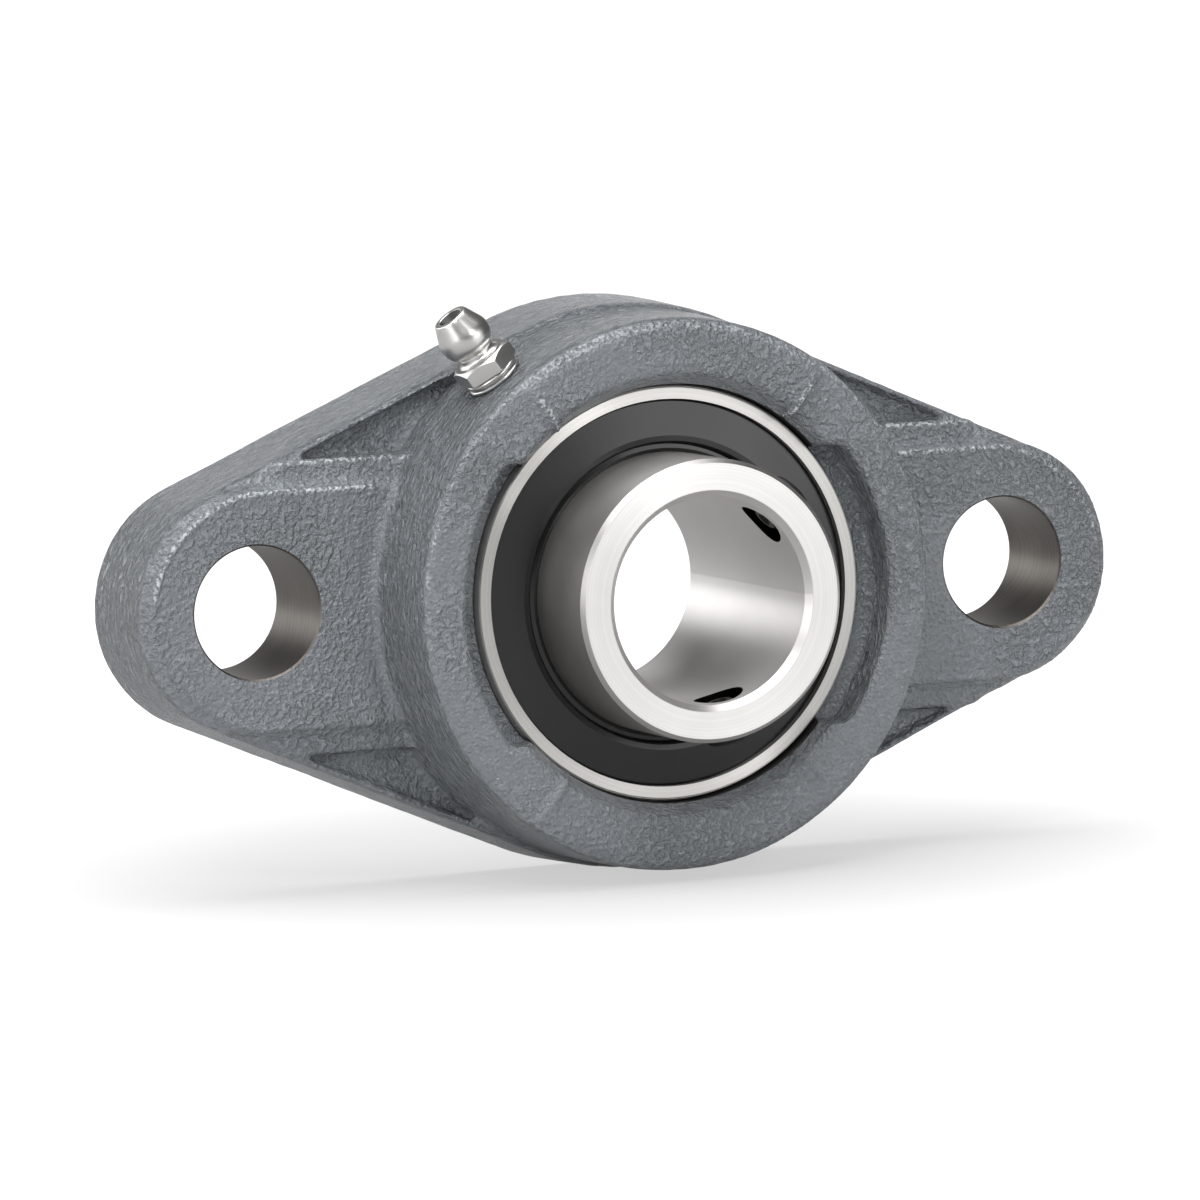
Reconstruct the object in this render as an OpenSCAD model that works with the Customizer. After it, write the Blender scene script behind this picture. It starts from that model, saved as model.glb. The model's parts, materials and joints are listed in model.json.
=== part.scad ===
// Two-bolt flange bearing: a cast oval housing with a self-aligning ball bearing insert.
// Millimetres. The shaft runs along Y with the nose towards -Y, the mounting face is the plane
// y = 0, the long side of the flange lies along X and +Z is up.
// Modules whose names begin with local_ are drawn lying down: their z is the height above the
// mounting face. The module on_shaft stands them up.

/* [Housing] */
// overall length of the flange
flange_length = 130; // [110:1:175]
// width of the flange across its middle
flange_width = 70; // [60:1:100]
// distance between the two bolt holes
bolt_spacing = 99; // [80:0.5:144]
// diameter of each bolt hole
bolt_hole_d = 16; // [10:0.5:20]
// thickness of the flange at the bolt holes
lug_thickness = 14; // [9:0.5:20]
// height of the lip around the sunk webs
web_rim_height = 12.6; // [8:0.1:19]
// height of the sunk web floors
web_floor_height = 10.4; // [6:0.1:18]
// height of the housing from the mounting face to the front of the boss
housing_height = 27; // [22:0.5:40]
// outer diameter of the round boss at its front edge
boss_d = 66.8; // [56:0.2:98]
// draft angle of the cast walls, in degrees
draft_angle = 2.5; // [1:0.5:5]
// rounding of the cast edges
cast_edge_radius = 1.2; // [0.5:0.1:2.5]
// how far the top and bottom of the boss face stand above its sides
face_step = 0.35; // [0:0.05:0.8]
// width of the lip left around each sunk web
web_rim_width = 0.7; // [0.4:0.1:2]
// width of the ledge between each pad and the sunk webs beside it
pad_ledge_width = 2.5; // [1.5:0.1:5]
// slope at the foot of the pads
pad_foot_radius = 0.9; // [0.3:0.1:1.2]
// rounding between the boss wall and the flange
boss_foot_radius = 1.6; // [0.6:0.1:3]

/* [Seat] */
// distance from the mounting face to the middle of the bearing
bearing_height = 16; // [12:0.5:24]
// diameter of the front mouth of the housing
mouth_d = 53.4; // [45:0.2:80]
// height of the recesses at both sides of the mouth
slot_height = 33.6; // [20:0.2:50]
// diameter that the side recesses reach out to
slot_reach_d = 55.8; // [54:0.2:90]
// depth of the side recesses below the front of the boss
slot_depth = 4.6; // [2:0.1:8]
// diameter of the opening in the mounting face
rear_opening_d = 54; // [45:0.5:85]

/* [Bearing insert] */
// bore for the shaft
bore_d = 25; // [20:1:40]
// diameter of the round outside of the outer ring
outer_sphere_d = 52; // [47:1:80]
// width of the outer ring
outer_ring_width = 15; // [12:0.5:21]
// outer diameter of the inner ring
inner_ring_d = 34; // [30:0.01:37]
// width of the inner ring
inner_ring_width = 34.1; // [25:0.1:50]
// distance from the middle of the balls to the back end of the inner ring
inner_ring_back = 14.3; // [10:0.1:20]
// diameter of the balls
ball_d = 7.938; // [6:0.001:12]
// diameter of the circle through the ball centres
ball_circle_d = 39.04; // [33:0.01:60]
// gap between the balls and the raceways
ball_clearance = 0.03; // [0.01:0.01:0.06]
// thickness of the cage strip
cage_thickness = 0.6; // [0.4:0.05:1.2]
// bore of the steps that the seal shields are pressed into
shield_seat_d = 46.8; // [40:0.1:70]
// width of the rubber lip between the inner ring and a seal shield
seal_lip_width = 1.03; // [0.6:0.01:2]
// thickness of the seal shield sheet
shield_thickness = 0.5; // [0.3:0.05:1]
// how far the seal shields lie below the faces of the outer ring
shield_recess = 0.75; // [0.6:0.05:1.2]
// thickness of the rubber behind a seal shield
seal_thickness = 1.6; // [1.2:0.1:2]
// how far the rubber reaches behind a seal shield
seal_root_width = 2.6; // [1:0.1:3.5]
// gap between the cage and the rings
cage_gap = 0.75; // [0.4:0.05:1]

/* [Set screws] */
// size of the set screw thread
set_screw_d = 6; // [4:0.5:10]
// length of a set screw
set_screw_length = 5; // [3:0.5:10]
// distance from the nose end of the inner ring to the set screws
set_screw_inset = 5; // [3:0.1:10]
// angle of the first set screw around the shaft, in degrees
set_screw_angle = 43; // [0:1:360]
// angle between the two set screws, in degrees
set_screw_spread = 120; // [60:1:130]

/* [Grease nipple] */
// angle of the nipple around the boss, in degrees
nipple_angle = 127; // [90:1:150]
// height of the nipple above the mounting face
nipple_height = 19; // [12:0.1:24]
// depth of the flat cut into the boss wall for the nipple
nipple_spot_depth = 0.3; // [0.1:0.05:1]
// metal left between the nipple thread and the spherical seat
nipple_thread_clear = 2.3; // [1.5:0.1:4]
// size of the nipple thread
nipple_thread_d = 6; // [5:0.5:10]
// width across flats of the nipple hexagon
nipple_hex = 7; // [6:0.5:11]
// diameter of the nipple head
nipple_head_d = 6.4; // [5:0.1:8]
// length of the nipple above its seat
nipple_reach = 9.6; // [7:0.1:14]

/* [Fits] */
// gap between the spherical seat and the outer ring
seat_gap = 0.05; // [0.02:0.01:0.1]
// gap between threaded pieces and their holes
thread_gap = 0.05; // [0.02:0.01:0.1]
// gap between a seal lip and the inner ring
lip_gap = 0.05; // [0.02:0.01:0.1]
// gap between the balls and their pockets in the cage
pocket_gap = 0.12; // [0.05:0.01:0.3]
// gap between pieces that are pressed together
press_gap = 0.02; // [0:0.01:0.05]

/* [Hidden] */
$fn = 64;
lug_x = bolt_spacing / 2;
lug_r = (flange_length - bolt_spacing) / 2;
flange_r = flange_width / 2;
boss_r = boss_d / 2;
draft = tan(draft_angle);
// angle between the straight flange edges and the long side
edge_angle = asin((flange_r - lug_r) / lug_x);
// half width of the raised pads at their top, and where the sunk webs beside them begin
pad_top_half = lug_r - lug_thickness * draft;
web_low = pad_top_half + pad_ledge_width;
rim_lean = web_rim_height * draft;
boss_top = housing_height - face_step - cast_edge_radius;
seat_r = outer_sphere_d / 2 + seat_gap;
mouth_start = bearing_height + outer_ring_width / 2 + 0.5;
mouth_neck_r = sqrt(pow(seat_r, 2) - pow(mouth_start - bearing_height, 2));
seat_back = bearing_height - outer_ring_width / 2 - 0.8;
seat_back_r = sqrt(pow(seat_r, 2) - pow(bearing_height - seat_back, 2));
slot_corner_r = 1.7;
slot_floor = housing_height - slot_depth;
ball_r = ball_d / 2;
ball_circle_r = ball_circle_d / 2;
ball_count = 9;
groove_r = ball_d * 0.515;
outer_groove_r = ball_circle_r + ball_r + ball_clearance - groove_r;
inner_groove_r = ball_circle_r - ball_r - ball_clearance + groove_r;
bore_r = bore_d / 2;
inner_r = inner_ring_d / 2;
inner_back = bearing_height - inner_ring_back;
nose = inner_back + inner_ring_width;
outer_shoulder_r = ball_circle_r + ball_r - 1.4;
rivet_circle_r = (inner_r + outer_shoulder_r) / 2;
shield_seat_r = shield_seat_d / 2;
shield_seat_depth = 3.2;
shield_bore_r = inner_r + lip_gap + seal_lip_width;
ring_front = bearing_height + outer_ring_width / 2;
ring_back = bearing_height - outer_ring_width / 2;
screw_hole_r = set_screw_d / 2;
screw_height = nose - set_screw_inset;
screw_tip = bore_r + 0.4;
nipple_hole_r = nipple_thread_d / 2;
nipple_seat_r = boss_r + (boss_top - nipple_height) * draft - nipple_spot_depth;
nipple_shank = nipple_seat_r - seat_r - nipple_thread_clear;
spring_wire_r = 0.17;
spring_coil_r = 0.75;

// stands a piece drawn lying down on its long edge, with the shaft along Y
module on_shaft() {
    rotate([90, 0, 0])
        children();
}

// one drafted round block with a rounded front edge, used for the cast outlines
module local_block(x, base_r, height, lean, edge_r) {
    top_r = base_r - (height - edge_r) * lean;
    translate([x, 0, 0])
        rotate_extrude($fn = 72)
            polygon([
                [0, 0],
                [base_r, 0],
                [top_r, height - edge_r],
                [top_r - edge_r * (1 - cos(30)), height - edge_r * (1 - sin(30))],
                [top_r - edge_r * (1 - cos(60)), height - edge_r * (1 - sin(60))],
                [top_r - edge_r, height],
                [0, height]
            ]);
}

// the flat oval flange up to the lip around its webs
module local_flange() {
    hull() {
        local_block(-lug_x, lug_r, web_rim_height, draft, cast_edge_radius);
        local_block(0, flange_r, web_rim_height, draft, cast_edge_radius);
        local_block(lug_x, lug_r, web_rim_height, draft, cast_edge_radius);
    }
}

// the raised pads around the bolt holes, joined under the boss, with a sloping foot on the ledge
module local_pads() {
    foot_r = lug_r - 0.02 - web_rim_height * draft;
    hull() {
        local_block(-lug_x, lug_r - 0.02, lug_thickness, draft, cast_edge_radius);
        local_block(lug_x, lug_r - 0.02, lug_thickness, draft, cast_edge_radius);
    }
    hull()
        for (x = [-1, 1]) {
            translate([x * lug_x, 0, web_rim_height - 0.4])
                cylinder(h = 0.4 + pad_foot_radius, r1 = foot_r, r2 = foot_r - 0.1, $fn = 72);
            translate([x * (lug_x - 0.8 * lug_r), 0, web_rim_height - 0.4])
                cylinder(h = 0.4 + pad_foot_radius, r1 = foot_r + 0.4 + pad_foot_radius, r2 = foot_r - 0.1, $fn = 72);
        }
}

// place along the long side where the flange's straight edge, moved inwards, passes a height z
function edge_x(z, inset) = -lug_x + (z - (lug_r - inset) / cos(edge_angle)) / tan(edge_angle);

// one corner of a sunk web: round, wider at the top, so that the pocket walls have draft
module local_pocket_corner(x, y, r) {
    lean = 0.35;
    translate([x, y, web_floor_height])
        cylinder(h = 0.05, r = r - lean, $fn = 24);
    translate([x, y, web_rim_height + 0.6])
        cylinder(h = 0.05, r = r, $fn = 24);
}

// the sunk web beside a pad: a triangle between the pad's ledge, the boss and the straight edge
module local_pocket() {
    tip_r = 0.4;
    corner_r = 1.5;
    low = web_low;
    under_boss = boss_r - 1;
    tip_z = low + tip_r;
    near_z = low + corner_r;
    rim_dist = flange_r - rim_lean - web_rim_width - corner_r;
    along = sqrt(max(0.01, pow(under_boss, 2) - pow(rim_dist, 2)));
    hull() {
        local_pocket_corner(edge_x(tip_z, rim_lean + web_rim_width + tip_r), tip_z, tip_r);
        local_pocket_corner(-sqrt(pow(under_boss, 2) - pow(near_z, 2)), near_z, corner_r);
        local_pocket_corner(-rim_dist * sin(edge_angle) - along * cos(edge_angle),
                            rim_dist * cos(edge_angle) - along * sin(edge_angle), corner_r);
    }
}

// the round boss: drafted wall and rounded front edge
module local_boss() {
    front = housing_height - face_step;
    foot_r = boss_r + boss_top * draft;
    rotate_extrude() {
        polygon([
            [0, 0],
            [foot_r, 0],
            [boss_r, boss_top],
            [boss_r - cast_edge_radius, front],
            [0, front]
        ]);
        intersection() {
            translate([boss_r - cast_edge_radius, boss_top])
                circle(r = cast_edge_radius);
            square([boss_r, front]);
        }
    }
}

// the higher top and bottom parts of the boss face
module local_face_steps() {
    low = housing_height - face_step - 0.5;
    for (a = [53, 233])
        rotate([0, 0, a])
            rotate_extrude(angle = 74)
                polygon([
                    [mouth_neck_r + 0.6, low],
                    [boss_r - 0.5, low],
                    [boss_r - 0.9, housing_height - 0.45],
                    [boss_r - 1.5, housing_height],
                    [mouth_neck_r + 0.6, housing_height]
                ]);
}

// the rounding where the boss wall runs into a flat at one height, all the way round
module local_boss_foot(height) {
    wall_r = boss_r + (boss_top - height) * draft;
    r = boss_foot_radius;
    rotate_extrude()
        difference() {
            translate([wall_r - 3, height - 1])
                square([3 + r, 1 + r]);
            translate([wall_r + r, height + r])
                circle(r = r);
        }
}

// the rounding at the foot of the boss, on the webs and on the two pads
module local_boss_feet() {
    intersection() {
        local_boss_foot(web_floor_height);
        cylinder(h = housing_height, r = flange_r - rim_lean - 0.3);
    }
    intersection() {
        local_boss_foot(lug_thickness);
        translate([0, 0, lug_thickness])
            cube([2 * flange_length, 2 * (pad_top_half - 0.7 * cast_edge_radius), lug_thickness], center = true);
    }
}

// everything cut from the middle of the housing: seat, mouth, loading slots, rear opening
module local_seat_cuts() {
    rotate_extrude()
        intersection() {
            translate([0, bearing_height])
                circle(r = seat_r);
            translate([0, seat_back])
                square([seat_r + 1, mouth_start - seat_back]);
        }
    rotate_extrude()
        polygon([
            [0, mouth_start - 0.01],
            [mouth_neck_r, mouth_start - 0.01],
            [mouth_neck_r + 0.1, mouth_start + 0.3],
            [mouth_d / 2 - 0.4, housing_height - 0.5],
            [mouth_d / 2 + 0.4, housing_height + 0.5],
            [0, housing_height + 0.5]
        ]);
    rotate_extrude()
        polygon([
            [0, -1],
            [rear_opening_d / 2 + 1.6, -1],
            [rear_opening_d / 2, 0.6],
            [seat_back_r + 0.1, seat_back - 0.6],
            [seat_back_r, seat_back + 0.01],
            [0, seat_back + 0.01]
        ]);
    local_loading_slots();
}

// the two shallow recesses at the sides of the mouth, with rounded corners and a rounded floor edge
module local_loading_slots() {
    half = slot_height / 2;
    reach = slot_reach_d / 2;
    corner = reach - slot_corner_r - 0.05;
    corner_x = sqrt(pow(corner, 2) - pow(half - slot_corner_r, 2));
    floor_r = 1.1;
    intersection() {
        rotate_extrude() {
            difference() {
                translate([0, slot_floor])
                    square([reach + 0.3, slot_depth + 1]);
                polygon([
                    [reach - 0.3, slot_floor - 1],
                    [reach - 0.3, slot_floor + floor_r],
                    [reach, housing_height + 0.2],
                    [reach, housing_height + 2],
                    [reach + 2, housing_height + 2],
                    [reach + 2, slot_floor - 1]
                ]);
                difference() {
                    translate([reach - 0.3 - floor_r, slot_floor - 1])
                        square([floor_r + 1, floor_r + 1]);
                    translate([reach - 0.3 - floor_r, slot_floor + floor_r])
                        circle(r = floor_r);
                }
            }
        }
        translate([0, 0, slot_floor - 1])
            linear_extrude(height = slot_depth + 3)
                union() {
                    square([2 * reach + 2, 2 * (half - slot_corner_r * 0.45)], center = true);
                    square([2 * corner_x, 2 * half], center = true);
                    for (x = [-1, 1])
                        for (y = [-1, 1])
                            translate([x * corner_x, y * (half - slot_corner_r)])
                                circle(r = slot_corner_r);
                }
    }
}

// the drilled and tapped way from the nipple to the grease groove in the seat
module local_grease_way() {
    rotate([0, 0, nipple_angle])
        translate([0, 0, nipple_height])
            rotate([0, 90, 0]) {
                translate([0, 0, nipple_seat_r - nipple_shank - 1])
                    cylinder(h = nipple_shank + 6, r = nipple_hole_r);
                translate([0, 0, seat_r - 3])
                    cylinder(h = 8, r = 1.25);
            }
    rotate_extrude()
        translate([seat_r - 1.45, nipple_height - 0.4])
            square([1.9, 2]);
}

// flat cut into the boss wall, so that the nipple stands on a level face
module local_nipple_spotface() {
    rotate([0, 0, nipple_angle])
        translate([0, 0, nipple_height])
            rotate([0, 90, 0])
                translate([0, 0, nipple_seat_r])
                    cylinder(h = 6, r = nipple_hex * 0.62);
}

module housing() {
    color([0.42, 0.45, 0.47])
        on_shaft()
            difference() {
                union() {
                    difference() {
                        local_flange();
                        for (sx = [0, 1])
                            for (sy = [0, 1])
                                mirror([sx, 0, 0])
                                    mirror([0, sy, 0])
                                        local_pocket();
                    }
                    local_pads();
                    local_boss();
                    local_face_steps();
                    local_boss_feet();
                }
                local_seat_cuts();
                local_nipple_spotface();
                local_grease_way();
                for (x = [-lug_x, lug_x])
                    translate([x, 0, -1]) {
                        cylinder(h = lug_thickness + 2, r = bolt_hole_d / 2);
                        translate([0, 0, lug_thickness + 0.7])
                            cylinder(h = 1, r1 = bolt_hole_d / 2 - 0.1, r2 = bolt_hole_d / 2 + 0.9);
                    }
            }
}

module outer_ring() {
    half = outer_ring_width / 2;
    // the grease holes go through the land between the ball groove and the shield's step
    groove_edge = bearing_height + sqrt(pow(groove_r, 2) - pow(outer_shoulder_r - outer_groove_r, 2));
    land = ring_front - shield_seat_depth - groove_edge;
    ring_face_r = sqrt(pow(outer_sphere_d / 2, 2) - pow(half, 2));
    color([0.8, 0.81, 0.82])
        on_shaft()
            difference() {
                rotate_extrude()
                    difference() {
                        intersection() {
                            translate([0, bearing_height])
                                circle(r = outer_sphere_d / 2);
                            translate([outer_shoulder_r, ring_back])
                                square([20, outer_ring_width]);
                        }
                        translate([outer_groove_r, bearing_height])
                            circle(r = groove_r);
                        for (y = [ring_front - shield_seat_depth, ring_back - 1])
                            translate([outer_shoulder_r - 1, y])
                                square([shield_seat_r - outer_shoulder_r + 1, shield_seat_depth + 1]);
                        for (s = [-1, 1])
                            translate([ring_face_r, bearing_height + s * half])
                                rotate(45)
                                    square([0.2, 0.2], center = true);
                    }
                for (a = [nipple_angle, nipple_angle + 180])
                    rotate([0, 0, a])
                        translate([outer_shoulder_r - 2, 0, groove_edge + land / 2])
                            rotate([0, 90, 0])
                                cylinder(h = outer_sphere_d / 2, r = 0.4 * land, $fn = 24);
            }
}

module inner_ring() {
    nose_bevel = 0.5;
    bore_bevel = 0.75;
    color([0.84, 0.84, 0.84])
        on_shaft()
            difference() {
                rotate_extrude()
                    difference() {
                        polygon([
                            [bore_r, inner_back + 0.5],
                            [bore_r + 0.5, inner_back],
                            [inner_r - 0.5, inner_back],
                            [inner_r, inner_back + 0.5],
                            [inner_r, nose - nose_bevel],
                            [inner_r - nose_bevel, nose],
                            [bore_r + bore_bevel, nose],
                            [bore_r, nose - bore_bevel]
                        ]);
                        translate([inner_groove_r, bearing_height])
                            circle(r = groove_r);
                    }
                for (a = [0, set_screw_spread])
                    rotate([0, 0, set_screw_angle - a])
                        translate([bore_r - 2, 0, screw_height])
                            rotate([0, 90, 0]) {
                                cylinder(h = 9, r = screw_hole_r);
                                translate([0, 0, inner_r - bore_r + 1.6])
                                    cylinder(h = 1, r1 = screw_hole_r - 0.1, r2 = screw_hole_r + 0.9);
                            }
            }
}

// a ball in its place on the ball circle, counted round from the top
module bearing_ball(n) {
    color([0.86, 0.87, 0.88])
        on_shaft()
            rotate([0, 0, 90 + n * 360 / ball_count])
                translate([ball_circle_r, 0, bearing_height])
                    sphere(r = ball_r, $fn = 40);
}

module ball_1() {
    bearing_ball(0);
}

module ball_2() {
    bearing_ball(1);
}

module ball_3() {
    bearing_ball(2);
}

module ball_4() {
    bearing_ball(3);
}

module ball_5() {
    bearing_ball(4);
}

module ball_6() {
    bearing_ball(5);
}

module ball_7() {
    bearing_ball(6);
}

module ball_8() {
    bearing_ball(7);
}

module ball_9() {
    bearing_ball(8);
}

// one pressed half of the cage, on the nose side of the balls
module local_cage_half() {
    pocket_r = ball_r + pocket_gap;
    low = inner_r + cage_gap;
    high = outer_shoulder_r - cage_gap;
    strip_edge = 0.35;
    difference() {
        intersection() {
            union() {
                rotate_extrude()
                    translate([low + strip_edge, 0])
                        square([high - low - 2 * strip_edge, cage_thickness]);
                for (i = [0 : ball_count - 1])
                    rotate([0, 0, 90 + i * 360 / ball_count])
                        translate([ball_circle_r, 0, 0])
                            sphere(r = pocket_r + cage_thickness, $fn = 32);
            }
            rotate_extrude()
                translate([low, 0.01])
                    square([high - low, ball_d]);
        }
        for (i = [0 : ball_count - 1])
            rotate([0, 0, 90 + i * 360 / ball_count]) {
                translate([ball_circle_r, 0, 0])
                    sphere(r = pocket_r, $fn = 32);
                rotate([0, 0, 180 / ball_count])
                    translate([rivet_circle_r, 0, -cage_thickness])
                        cylinder(h = 3 * cage_thickness, r = 0.58, $fn = 20);
            }
    }
}

module cage_front() {
    color([0.7, 0.7, 0.7])
        on_shaft()
            translate([0, 0, bearing_height])
                local_cage_half();
}

module cage_rear() {
    color([0.7, 0.7, 0.7])
        on_shaft()
            translate([0, 0, bearing_height])
                mirror([0, 0, 1])
                    local_cage_half();
}

module cage_rivets() {
    color([0.75, 0.75, 0.75])
        on_shaft()
            for (i = [0 : ball_count - 1])
                rotate([0, 0, 90 + (i + 0.5) * 360 / ball_count])
                    translate([rivet_circle_r, 0, bearing_height])
                        rotate_extrude($fn = 20)
                            polygon([
                                [0, -cage_thickness - 0.55],
                                [0.5, -cage_thickness - 0.5],
                                [0.95, -cage_thickness - 0.02],
                                [0.56, -cage_thickness - 0.02],
                                [0.56, cage_thickness + 0.02],
                                [0.95, cage_thickness + 0.02],
                                [0.5, cage_thickness + 0.5],
                                [0, cage_thickness + 0.55]
                            ]);
}

// the pressed steel shield of the front seal, measured from the middle of the bearing
module local_shield() {
    out_r = shield_seat_r - press_gap;
    face = outer_ring_width / 2 - shield_recess;
    t = shield_thickness;
    rotate_extrude()
        polygon([
            [out_r, face - 1.9],
            [out_r, face - 0.3],
            [out_r - 0.3, face],
            [shield_bore_r + 0.9, face + 0.55],
            [shield_bore_r + 0.25, face + 0.5],
            [shield_bore_r, face + 0.2],
            [shield_bore_r, face - 0.55 * seal_thickness],
            [shield_bore_r + t, face - 0.55 * seal_thickness],
            [shield_bore_r + t, face],
            [out_r - t, face - 0.5],
            [out_r - t, face - 1.9]
        ]);
}

// the rubber lip behind the shield, which rubs on the inner ring
module local_lip() {
    face = outer_ring_width / 2 - shield_recess;
    lip_r = inner_r + lip_gap;
    edge_r = shield_bore_r - press_gap;
    root_r = shield_bore_r + seal_root_width;
    t = seal_thickness;
    rotate_extrude()
        polygon([
            [lip_r, face - 0.1 * t],
            [lip_r, face - 0.25 * t],
            [lip_r + 0.2 * t, face - 0.55 * t],
            [lip_r, face - 0.85 * t],
            [lip_r, face - t],
            [lip_r + 0.3 * t, face - 1.06 * t],
            [root_r, face - 0.95 * t],
            [root_r, face - 0.6 * t],
            [edge_r, face - 0.6 * t],
            [edge_r, face - 0.12 * t],
            [lip_r + 0.25 * t, face - 0.03 * t]
        ]);
}

module seal_shield_front() {
    color([0.22, 0.22, 0.23])
        on_shaft()
            translate([0, 0, bearing_height])
                local_shield();
}

module seal_shield_rear() {
    color([0.22, 0.22, 0.23])
        on_shaft()
            translate([0, 0, bearing_height])
                mirror([0, 0, 1])
                    local_shield();
}

module seal_lip_front() {
    color([0.05, 0.05, 0.05])
        on_shaft()
            translate([0, 0, bearing_height])
                local_lip();
}

module seal_lip_rear() {
    color([0.05, 0.05, 0.05])
        on_shaft()
            translate([0, 0, bearing_height])
                mirror([0, 0, 1])
                    local_lip();
}

// a cup-point set screw along +Z with its point at the bottom
module local_set_screw() {
    r = screw_hole_r - thread_gap;
    core = r - 0.42;
    turns = 6;
    pitch = (set_screw_length - 1.1) / turns;
    difference() {
        rotate_extrude($fn = 40)
            polygon(concat(
                [[0, 0.9], [1.0, 0.0], [1.45, 0.0], [core, 0.75]],
                [for (i = [0 : turns - 1], p = [[r, 0.3], [core, 0.98]])
                    [p[0], 0.8 + (i + p[1]) * pitch]],
                [[core, set_screw_length - 0.2], [core - 0.2, set_screw_length],
                 [0, set_screw_length]]
            ));
        translate([0, 0, set_screw_length - 2.4])
            cylinder(h = 3, r = 1.5 / cos(30), $fn = 6);
    }
}

module place_set_screw(n) {
    color([0.08, 0.08, 0.08])
        on_shaft()
            rotate([0, 0, set_screw_angle - n * set_screw_spread])
                translate([screw_tip, 0, screw_height])
                    rotate([0, 90, 0])
                        local_set_screw();
}

module set_screw_a() {
    place_set_screw(0);
}

module set_screw_b() {
    place_set_screw(1);
}

// puts a piece drawn along +Z onto the nipple axis, with z = 0 on its seat
module on_nipple() {
    on_shaft()
        rotate([0, 0, nipple_angle])
            translate([nipple_seat_r, 0, nipple_height])
                rotate([0, 90, 0])
                    children();
}

module nipple_body() {
    thread_r = nipple_hole_r - thread_gap;
    head_r = nipple_head_d / 2;
    top = nipple_reach;
    hex_low = 1.4;
    hex_high = 3.5;
    color([0.78, 0.78, 0.78])
        on_nipple()
            difference() {
                union() {
                    rotate_extrude()
                        polygon([
                            [0, -nipple_shank],
                            [thread_r - 0.5, -nipple_shank],
                            [thread_r, -nipple_shank + 0.5],
                            [thread_r, 0],
                            [3.1, 0.05],
                            [3.45, 0.35],
                            [3.1, 0.65],
                            [3.1, 0.75],
                            [3.45, 1.05],
                            [3.1, hex_low],
                            [2.6, hex_high],
                            [2.15, 4.0],
                            [2.1, 4.3],
                            [2.55, 4.7],
                            [2.95, 5.3],
                            [head_r, 6.3],
                            [head_r, 7.1],
                            [head_r - 0.25, 7.6],
                            [2.15, top - 0.05],
                            [2.0, top],
                            [0, top]
                        ]);
                    intersection() {
                        translate([0, 0, hex_low])
                            cylinder(h = hex_high - hex_low, r = nipple_hex / 2 / cos(30), $fn = 6);
                        rotate_extrude()
                            polygon([
                                [0, hex_low],
                                [3.6, hex_low],
                                [4.1, hex_low + 0.3],
                                [4.1, hex_high - 0.6],
                                [3.2, hex_high],
                                [0, hex_high]
                            ]);
                    }
                }
                rotate_extrude()
                    polygon([
                        [0, -nipple_shank - 1],
                        [1.05, -nipple_shank - 1],
                        [1.05, top - 1.75],
                        [0.6, top - 0.95],
                        [1.0, top - 0.5],
                        [1.4, top + 0.1],
                        [0, top + 0.1]
                    ]);
            }
}

module nipple_ball() {
    color([0.8, 0.8, 0.8])
        on_nipple()
            translate([0, 0, nipple_reach - 1.95])
                sphere(r = 0.95, $fn = 32);
}

// a coil made of half turns that lean one way and then the other
module nipple_spring() {
    half_turns = 9;
    low = nipple_reach - 7.2;
    high = nipple_reach - 3.25;
    rise = (high - low) / half_turns;
    lean = atan(rise / (2 * spring_coil_r));
    color([0.6, 0.6, 0.6])
        on_nipple()
            for (i = [0 : half_turns - 1])
                translate([0, 0, low + (i + 0.5) * rise])
                    rotate([0, 0, 180 * i])
                        rotate([0, lean, 0])
                            rotate([0, 0, -1])
                                rotate_extrude(angle = 182, $fn = 24)
                                    translate([spring_coil_r, 0])
                                        circle(r = spring_wire_r, $fn = 16);
}

housing();
outer_ring();
inner_ring();
ball_1();
ball_2();
ball_3();
ball_4();
ball_5();
ball_6();
ball_7();
ball_8();
ball_9();
cage_front();
cage_rear();
cage_rivets();
seal_shield_front();
seal_shield_rear();
seal_lip_front();
seal_lip_rear();
set_screw_a();
set_screw_b();
nipple_body();
nipple_ball();
nipple_spring();
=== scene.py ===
# %% [markdown]
# # Dressing a flange bearing
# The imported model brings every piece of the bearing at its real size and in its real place. This
# script gives the pieces the skin they have on the real object: a sprayed iron casting with soft
# edges, machined seats and holes, ground and turned steel, dark shields, rubber and nickel.

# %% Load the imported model
import json
import math

import bmesh
import bpy
from mathutils import Matrix, Vector, noise

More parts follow.
